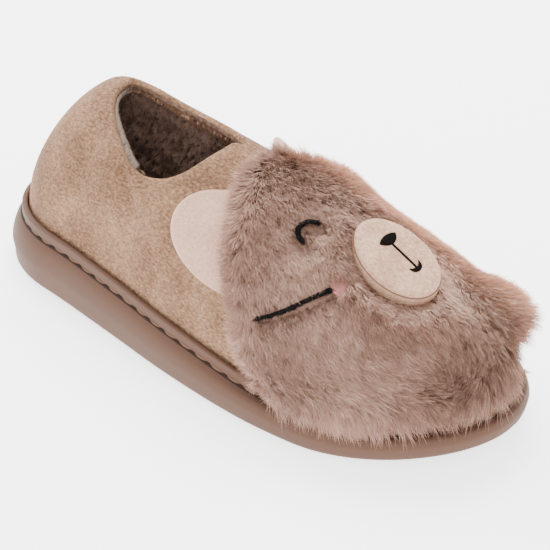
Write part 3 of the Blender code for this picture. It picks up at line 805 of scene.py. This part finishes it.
def furShape(u, v):
    share = np.mod(2 * u, 2)
    out = np.where(v <= 0.6, v / 0.6, np.where(v >= 0.7, (1 - v) / 0.3, 1.0))
    turn, climb = furSpot(share, out * 0.985)
    pile = pileAt(upperPoint(turn, climb)) * 0.52
    lift = np.where(v <= 0.6, pile * (1 - 0.60 * ramp(out, 0.90, 1.0)), coat["backing"])
    across = np.clip((v - 0.6) / 0.1, 0, 1)
    lift = np.where((v > 0.6) & (v < 0.7), pile * 0.40 + (coat["backing"] - pile * 0.40) * across, lift)
    return upperPoint(turn, climb, lift)


def makeUndercoat():
    bm = bmesh.new()
    skin(bm, 192, 60, furShape)
    weld(bm)
    return keep(bm, "furBacking", undercoat, ["fur_vamp"])


makeUndercoat()


def sowFur():
    # clump places spread evenly over the patch
    shares, outs = np.meshgrid((np.arange(240) + 0.5) / 120, (np.arange(70) + 0.5) / 70, indexing="ij")
    shares, outs = shares.ravel(), outs.ravel()
    spot = upperPoint(*furSpot(shares, outs))
    nextShare = upperPoint(*furSpot(shares + 1 / 120, outs))
    nextOut = upperPoint(*furSpot(shares, np.minimum(outs + 1 / 70, 1.0)))
    area = np.linalg.norm(np.cross(nextShare - spot, nextOut - spot), axis=1)
    cell = random.choice(len(area), coat["clumps"], p=area / area.sum())
    share = shares[cell] + random.uniform(-0.5, 0.5, len(cell)) / 120
    out = np.clip(outs[cell] + random.uniform(-0.5, 0.5, len(cell)) / 70, 0, 0.995)
    print("fur covers about", round(area.sum() * 1e4), "square cm")
    return share, out


def lieFlat(way, up):
    # a direction laid onto the surface
    way = np.asarray(way, float)
    return unit(way - up * np.sum(way * up, axis=-1, keepdims=True))


def combing(base, up, climb):
    # hair runs down and forwards to the whorl at the toe, straight forwards low on the near side,
    # and hangs at the rim
    towards = np.array(coat["whorl"]) - base
    far = np.linalg.norm(towards, axis=1)
    front = (ramp(climb, *zone["frontClimb"]) * ramp(up[:, 0], *zone["frontSide"]))[:, None]
    lean = unit(lieFlat(coat["flow"], up) * (1 - front) + lieFlat(coat["frontFlow"], up) * front)
    near = 0.85 * ramp(far, *zone["whorl"])[:, None]
    lean = unit(lean * (1 - near) + lieFlat(towards, up) * near)
    low = 0.65 * ramp(climb, *zone["hang"])[:, None]
    return unit(lean * (1 - low) + lieFlat((0, 0, -1), up) * low), far


def hairTone(base, up, far):
    # each clump's colour: random light and dark patches, with painted light and painted shade added
    light, mid, dark = map(np.array, (tone(216, 182, 162), tone(176, 140, 122), tone(122, 91, 79)))
    patch = 0.24 * mottle(base, 0.034, 3) + 0.14 * mottle(base, 0.009, 4)
    patch += 0.30 * random.normal(size=len(base))
    # painted light: hair facing the medial side, and hair facing up, is made lighter
    patch += 0.75 * ramp(up[:, 0], *zone["paintedLightBlend"]) + 0.20 * up[:, 2] - 0.10
    # painted shade: hair round the whorl, where the pile parts, is darkened
    patch -= coat["whorlPaintedShade"] * np.exp(-(far / coat["whorlSize"]) ** 2)
    shade = np.where((patch > 0)[:, None], mid + (light - mid) * np.clip(patch, 0, 1)[:, None],
                     mid + (dark - mid) * np.clip(-patch, 0, 1)[:, None])
    # more painted light: hair facing the medial side is brightened
    return shade * (1 + 0.30 * ramp(up[:, 0], *zone["paintedLightGain"]))[:, None]


def makeFur():
    share, out = sowFur()
    turn, climb = furSpot(share, out)
    base, up = upperPoint(turn, climb), upperNormal(turn, climb)
    pile = pileAt(base)
    lean, far = combing(base, up, climb)
    lean = unit(lean + 0.11 * random.normal(size=lean.shape))
    shade = hairTone(base, up, far)
    edge = ramp(out, 0.93, 1.0)
    off = outwards(share, out - 0.04, np.minimum(out + 0.04, 1.0))
    leaving = (0.60 * ramp(out, 0.84, 1.0) * ramp(climb, 0.15, 0.30))[:, None]
    lean = unit(lean * (1 - leaving) + off * leaving)
    rise = (pile - 0.0012) * random.uniform(0.90, 1.05, len(base)) * (1 - 0.30 * edge)
    rise = rise + extraPile(base, up, out, climb)
    reach = coat["reach"] * random.uniform(0.75, 1.2, len(base))
    reach = reach + coat["rimTuft"] * edge * ramp(climb, 0.26, 0.12)
    reach *= 0.55 + 0.45 * ramp(far, 0.004, 0.020)
    clear = padDistance(muzzlePlane, muzzle["wide"], muzzle["long"], base) > 0.90
    onCheek = padDistance(cheekPlane, cheek["wide"], cheek["long"], base) < 0.95
    lower = (base - cheekPlane["origin"]) @ (cheekPlane["along"] - 0.6 * cheekPlane["across"]) > 0.0008
    clear &= ~onCheek | lower
    rise = rise + np.where(onCheek & lower, 0.0030, 0)
    for line in (eyeLine, longLine):
        gap = lineGap(base, line)
        rise = rise * (0.76 + 0.24 * ramp(gap, 0.001, 0.0065))
        reach = reach * (0.50 + 0.50 * ramp(gap, 0.001, 0.0060))
        clear &= gap > 0.0015
    keepers = np.flatnonzero(clear)
    order = keepers[np.argsort(-base[keepers, 1])]
    for name, part in zip(("furBack", "furMiddle", "furToe"), np.array_split(order, 3)):
        plant(name, base[part] + up[part] * 0.0012, up[part], lean[part], rise[part], reach[part],
              shade[part])


def makeFurEdge():
    # soft tips all along the patch's edge, leaning off it
    count = coat["edgeClumps"]
    share, out = random.uniform(0, 2, count), random.uniform(0.965, 0.995, count)
    turn, climb = furSpot(share, out)
    base, up = upperPoint(turn, climb), upperNormal(turn, climb)
    off = outwards(share, 0.93, 1.0)
    lean, far = combing(base, up, climb)
    lean = unit(off + 0.35 * lean + 0.30 * random.normal(size=off.shape))
    rise = pileAt(base) * random.uniform(0.35, 0.90, count) + 0.4 * extraPile(base, up, out, climb)
    reach = coat["edgeReach"] * random.uniform(0.7, 1.2, count)
    plant("furEdge", base + up * 0.0010, up, lean, rise, reach, hairTone(base, up, far))


makeFur()
makeFurEdge()

# Sewn eye and line


def makeSewnLine(name, sewn):
    turn, climb = alongLine(sewn["line"], 80)
    base, up = upperPoint(turn, climb), upperNormal(turn, climb)
    lift = np.maximum(pileAt(base), 0.95 * coat["pile"]) - sewn["sink"]
    core = base + up * lift[:, None]
    side = np.cross(unit(np.gradient(core, axis=0)), up)

    def shape(u, v):
        k = u * (len(core) - 1)
        at = np.arange(len(core))
        read = lambda rows: np.stack([np.interp(k, at, rows[:, i]) for i in range(3)], axis=-1)
        angle = v * 2 * math.pi
        taper = np.minimum(roundEnd(u, sewn["ends"]), roundEnd(1 - u, sewn["ends"]))
        taper = np.interp(u, (0, 1), sewn["thick"]) / 2 * np.maximum(taper, 0.02)
        return (read(core) + unit(read(side)) * (np.cos(angle) * taper)[:, None]
                + unit(read(up)) * (np.sin(angle) * taper * 0.55)[:, None])

    bm = bmesh.new()
    skin(bm, 90, 12, shape)
    weld(bm, 2e-5)
    keep(bm, name, blackThread)
    return base, up, lift


def threadHair(name, base, up, lift, count, long, spread):
    pick = random.integers(0, len(base), count)
    side = random.normal(size=(count, 3))
    spot = base[pick] + up[pick] * (lift[pick] - 0.0012)[:, None] + side * spread * 0.5
    lean = lieFlat(coat["flow"], up[pick])
    black = np.tile(np.array(tone(16, 13, 12)), (count, 1))
    plant(name, spot, up[pick], lean, np.full(count, 0.0020), np.full(count, long), black,
          perClump=4, spread=spread, width=0.00034, stray=0.35)


# thickness at both ends, how deep it lies in the pile, and the share of it that each rounded end takes
sewnLines = dict(
    sewnEye=dict(line=eyeLine, thick=(0.0024, 0.0016), sink=0.0003, ends=0.08),
    sewnLine=dict(line=longLine, thick=(0.0010, 0.0023), sink=0.0003, ends=0.05),
)
for name, sewn in sewnLines.items():
    threadHair(name + "Ends", *makeSewnLine(name, sewn), 260, 0.0014, 0.0006)

# Muzzle


def muzzleShape(u, v):
    low, top = coat["pressed"] + 2 * shoe["fitGap"], muzzle["top"]
    share, height, kept = rowsAt((
        (0.0, low, 1.0), (0.50, low, 1.0), (0.90, low, 1.0), (0.97, low + 0.0008, 1.0),
        (1.0, low + 0.0026, 0.9), (1.0, top - 0.0052, 0.65), (1.0, top - 0.0030, 0.6),
        (0.995, top - 0.0022, 0.6), (0.978, top - 0.0021, 0.55), (0.982, top - 0.0013, 0.5),
        (0.965, top - 0.0006, 0.5), (0.93, top - 0.0001, 0.5), (0.86, top + 0.0001, 0.5),
        (0.50, top + 0.0002, 0.5), (0.0, top + 0.0002, 0.5)), v)
    angle = 2 * math.pi * u
    wide, long = muzzle["wide"] / 2 * share * np.cos(angle), muzzle["long"] / 2 * share * np.sin(angle)
    return onFrame(muzzlePlane, wide, long, height - surfaceDrop(muzzlePlane, wide, long) * kept)


def onMuzzle(u, v, lift=0.0):
    u, v = np.asarray(u, float), np.asarray(v, float)
    return onFrame(muzzlePlane, u, v, muzzle["top"] + 0.0002 - surfaceDrop(muzzlePlane, u, v) * 0.5 + lift)


def makeMuzzle():
    bm = bmesh.new()
    first, end = muzzle["seam"]
    skin(bm, 120, 70, muzzleShape, lambda v: 1 if first < v < end else 0)
    weld(bm)
    keep(bm, "muzzlePad", [muzzleCloth, seamCloth], ["muzzle"])


def satin(name, outline, height):
    # an embroidered shape on the muzzle: outline gives across and along for a share round it and out
    bm = bmesh.new()

    def shape(u, v):
        out = np.clip(v / 0.8, 0, 1)
        a, b = outline(u * 2 * math.pi)
        lift = height * np.sqrt(np.maximum(1 - out ** 4, 0)) - np.where(v > 0.8, 0.0004, 0) + 0.00005
        ridge = 0.00004 * np.sin(a * out * 2 * math.pi / 0.0005)
        return onMuzzle(a * out + nose["across"], b * out + nose["along"], lift + ridge * (1 - out))

    skin(bm, 72, 12, shape)
    weld(bm)
    return keep(bm, name, blackThread)


nose = dict(across=0.0025, along=-0.0080, wide=0.0098, tall=0.0058, slant=0.08)
mouth = dict(top=(0.0020, -0.0060), bottom=(0.0014, 0.0078), tail=(0.0012, 0.0095), thin=0.0011,
             smileWide=0.0060, smileDeep=0.0022, smileThick=0.0021, smileEnd=0.0003)


def noseOutline(angle):
    # flat at the top, with drawn-out ends and a rounded point below
    across = np.cos(angle)
    tall = np.where(np.sin(angle) < 0, 0.62, 1.15) * np.sin(angle) * np.abs(np.sin(angle)) ** 0.5
    return nose["wide"] / 2 * across, nose["tall"] / 2 * tall + nose["slant"] * nose["wide"] / 2 * across


def threadOnMuzzle(name, spots, thick):
    spots = np.array(spots, float)
    at = np.linspace(0, 1, len(spots))

    def shape(u, v):
        a, b = np.interp(u, at, spots[:, 0]), np.interp(u, at, spots[:, 1])
        ahead, behind = np.minimum(u + 0.02, 1), np.maximum(u - 0.02, 0)
        da = np.interp(ahead, at, spots[:, 0]) - np.interp(behind, at, spots[:, 0])
        db = np.interp(ahead, at, spots[:, 1]) - np.interp(behind, at, spots[:, 1])
        size = np.maximum(np.hypot(da, db), 1e-9)
        wide = np.interp(u, np.linspace(0, 1, len(thick)), thick) / 2
        angle = 2 * math.pi * v
        return onMuzzle(a - db / size * wide * np.cos(angle), b + da / size * wide * np.cos(angle),
                        0.00028 * np.sin(angle) + 0.0001)

    bm = bmesh.new()
    skin(bm, 48, 10, shape)
    weld(bm)
    return keep(bm, name, blackThread)


def smileSpots():
    angle = np.radians(np.linspace(-70, 70, 15))
    x, y = mouth["bottom"]
    return [(x + mouth["smileWide"] / 2 * math.sin(a) / math.sin(math.radians(70)),
             y + mouth["smileDeep"] * (math.cos(a) - 0.45) / 0.55) for a in angle]


makeMuzzle()
satin("noseSatin", noseOutline, 0.0006)
threadOnMuzzle("mouthThread", [mouth["top"], mouth["bottom"], mouth["tail"]], [mouth["thin"]] * 3)
smileSide = [mouth["smileEnd"], 0.9 * mouth["smileThick"]]
threadOnMuzzle("smileThread", smileSpots(), smileSide + [mouth["smileThick"]] + smileSide[::-1])

# Cheek


def cheekShape(u, v):
    low, thick = cheek["seat"], cheek["thick"]
    share, height = rowsAt((
        (0.0, low), (0.6, low), (0.97, low + 0.0003), (1.0, low + 0.0008), (0.9, low + 0.75 * thick),
        (0.6, low + thick), (0.0, low + 1.05 * thick)), v)
    angle = 2 * math.pi * u
    wide, long = cheek["wide"] / 2 * share * np.cos(angle), cheek["long"] / 2 * share * np.sin(angle)
    return onFrame(cheekPlane, wide, long, height - surfaceDrop(cheekPlane, wide, long))


def makeCheek():
    bm = bmesh.new()
    skin(bm, 48, 14, cheekShape)
    weld(bm)
    keep(bm, "cheekPatch", pinkCloth, ["cheek"])
    count = 420
    away, angle = np.sqrt(random.uniform(0, 0.9, count)), random.uniform(0, 2 * math.pi, count)
    wide, long = cheek["wide"] / 2 * away * np.cos(angle), cheek["long"] / 2 * away * np.sin(angle)
    height = cheek["seat"] + 0.8 * cheek["thick"] - surfaceDrop(cheekPlane, wide, long)
    base = onFrame(cheekPlane, wide, long, height)
    up = np.tile(cheekPlane["out"], (count, 1))
    lean = lieFlat(coat["flow"], up)
    pink = np.tile(np.array(tone(226, 158, 153)), (count, 1))
    plant("cheekNap", base, up, lean, np.full(count, 0.0014), np.full(count, 0.0016), pink,
          perClump=8, spread=0.0005)


makeCheek()

# Ears

ear = dict(base=0.039, long=0.0270, lean=0.0060, thick=0.0024, tilt=0.0055, clear=0.0014, turn=0.745,
           turnMedial=0.775, slant=0.50)


def makeEar(name, node, far):
    # a half-round whose base follows the fur's edge and whose outline lies in a flat frame
    side = -1 if far else 1
    shares = np.arange(160) / 400
    start = shares[np.argmin(np.abs(furEdge(shares)[0] - (ear["turnMedial"] if far else ear["turn"])))]
    ends = upperPoint(*furEdge(np.array([start - 0.02, start + 0.02])))
    perMetre = 0.04 / np.linalg.norm(ends[1] - ends[0])

    def onEdge(share):
        turn, climb = furEdge(np.asarray(share, float))
        return upperPoint(2 - turn if far else turn, climb)

    centre = onEdge(start)
    plane = frameOn(centre[0], centre[1])
    up = (side * math.cos(ear["slant"]), -math.sin(ear["slant"]))
    away = (-side * math.sin(ear["slant"]), -math.cos(ear["slant"]))

    def shape(u, v):
        # v goes up the underside, round the edge and down the top
        climb = np.clip(np.where(v < 0.5, v / 0.45, (1 - v) / 0.45), 0, 1)
        angle = math.pi * (0.03 + 0.94 * u)
        along = ear["base"] / 2 * np.cos(angle) + ear["lean"] * np.sin(angle)
        out = ear["long"] * np.sin(angle)
        root = onEdge(start - ear["base"] / 2 * np.cos(angle) * perMetre) - centre
        rootA = root @ plane["across"] + away[0] * ear["clear"]
        rootB = root @ plane["along"] + away[1] * ear["clear"]
        a = rootA + (up[0] * along + away[0] * (out + ear["clear"]) - rootA) * climb
        b = rootB + (up[1] * along + away[1] * (out + ear["clear"]) - rootB) * climb
        point = onFrame(plane, a, b, -surfaceDrop(plane, a, b))
        edge = roundEnd(1 - climb, 0.10) * roundEnd(np.minimum(u, 1 - u), 0.03)
        lift = ear["thick"] / 2 + shoe["fitGap"] * 2 + ear["tilt"] * (climb * np.sin(angle)) ** 1.4
        half = ear["thick"] / 2 * (0.15 + 0.85 * edge)
        return point + heightNormal(point) * (lift + np.where(v < 0.5, -half, half))[:, None]

    bm = bmesh.new()
    skin(bm, 72, 60, shape)
    weld(bm)
    bmesh.ops.holes_fill(bm, edges=[e for e in bm.edges if e.is_boundary], sides=0)
    bmesh.ops.recalc_face_normals(bm, faces=bm.faces[:])
    return keep(bm, name, earCloth, [node])


makeEar("earLateral", "ear_lateral", False)
makeEar("earMedial", "ear_medial", True)

# Plush inside the collar

lining = dict(clumps=6900, fringe=1500)


def makeLining():
    count = lining["clumps"]
    turn = random.uniform(0, 2, count)
    climb = 1 - 0.85 * random.uniform(0, 1, count) ** 1.3
    base, up = upperPoint(turn, climb, -shoe["wall"]), -upperNormal(turn, climb)
    down = unit(np.array([0, 0, -1.0]) + up * up[:, 2:3] + 0.5 * random.normal(size=up.shape))
    patch = np.clip(0.5 + 0.4 * mottle(base, 0.016, 8) + 0.2 * random.normal(size=count), 0, 1)[:, None]
    dark, brown = np.array(tone(104, 80, 69)), np.array(tone(164, 134, 118))
    shade = dark + (brown - dark) * patch * 0.8
    edge = upper["facing"] + 0.03 * mottle(base, 0.012, 9)
    band = ramp(climb, edge, edge + 0.03)[:, None]
    shade = shade * (1 - band) + np.array(tone(128, 98, 78)) * (0.85 + 0.3 * patch) * band
    pile = np.where(band[:, 0] > 0.5, 0.0016, 0.0030)
    plant("liningPlush", base, up, down, pile, pile * 0.8, shade,
          perClump=9, spread=0.0011, width=0.00042, stray=0.6)


def makeFringe():
    # the pale edge of the lining shows along the near side of the collar
    count = lining["fringe"]
    turn = np.mod(random.uniform(-0.06, 0.47, count), 2)
    base = upperPoint(turn, np.full(count, 0.985), -shoe["wall"] * random.uniform(0.75, 1.05, count))
    up = unit(-upperNormal(turn, np.full(count, 0.98)) + np.array([0, 0, 0.9]))
    lean = unit(random.normal(size=(count, 3)))
    shade = np.tile(np.array(tone(176, 158, 142)), (count, 1)) * random.uniform(0.7, 1.1, (count, 1))
    plant("collarFringe", base, up, lean, np.full(count, 0.0022), np.full(count, 0.0012), shade,
          perClump=6, spread=0.0007, width=0.00032, stray=0.5)


makeLining()
makeFringe()

# Studio

studio = dict(floorSize=3.0, floorTone=(0.93, 0.925, 0.915), floorGlow=2.4,
              world=(1.0, 1.0, 1.0), worldStrength=1.6)
# name, spot, aim, size and power
lights = (
    ("key", (0.45, 0.20, 0.95), (0, 0, 0.03), 0.55, 16),
    ("fill", (-0.7, -0.7, 0.8), (0, 0, 0.03), 0.9, 7),
    ("back", (0.15, 0.9, 0.7), (0, 0, 0.04), 0.6, 13),
)


def makeFloor():
    bm = bmesh.new()
    bmesh.ops.create_grid(bm, x_segments=1, y_segments=1, size=studio["floorSize"])
    mesh = bpy.data.meshes.new("floor")
    bm.to_mesh(mesh)
    bm.free()
    floor = bpy.data.objects.new("floor", mesh)
    bpy.context.scene.collection.objects.link(floor)
    material, _, shader = newMaterial("floor", studio["floorTone"], 0.9)
    shader.inputs["Emission Color"].default_value = (1, 1, 1, 1)
    shader.inputs["Emission Strength"].default_value = studio["floorGlow"]
    mesh.materials.append(material)


def softLight(name, spot, aim, size, power):
    data = bpy.data.lights.new(name, "AREA")
    data.shape = "DISK"
    data.size = size
    data.energy = power
    lamp = bpy.data.objects.new(name, data)
    lamp.location = spot
    lamp.rotation_euler = (Vector(aim) - Vector(spot)).to_track_quat("-Z", "Y").to_euler()
    bpy.context.scene.collection.objects.link(lamp)


def makeCamera():
    view = dict(spot=(-0.6373, -0.5535, 0.5992), aim=(-0.0052, -0.0170, 0.0400), lens=154.3)
    data = bpy.data.cameras.new("camera")
    data.sensor_width, data.lens = 36, view["lens"]
    data.clip_start, data.clip_end = 0.02, 20
    camera = bpy.data.objects.new("camera", data)
    camera.location = view["spot"]
    camera.rotation_euler = (Vector(view["aim"]) - Vector(view["spot"])).to_track_quat("-Z", "Y").to_euler()
    bpy.context.scene.collection.objects.link(camera)
    bpy.context.scene.camera = camera


makeFloor()
for light in lights:
    softLight(*light)
makeCamera()
world = bpy.data.worlds.new("studio")
world.use_nodes = True
world.node_tree.nodes["Background"].inputs["Color"].default_value = (*studio["world"], 1)
world.node_tree.nodes["Background"].inputs["Strength"].default_value = studio["worldStrength"]
bpy.context.scene.world = world
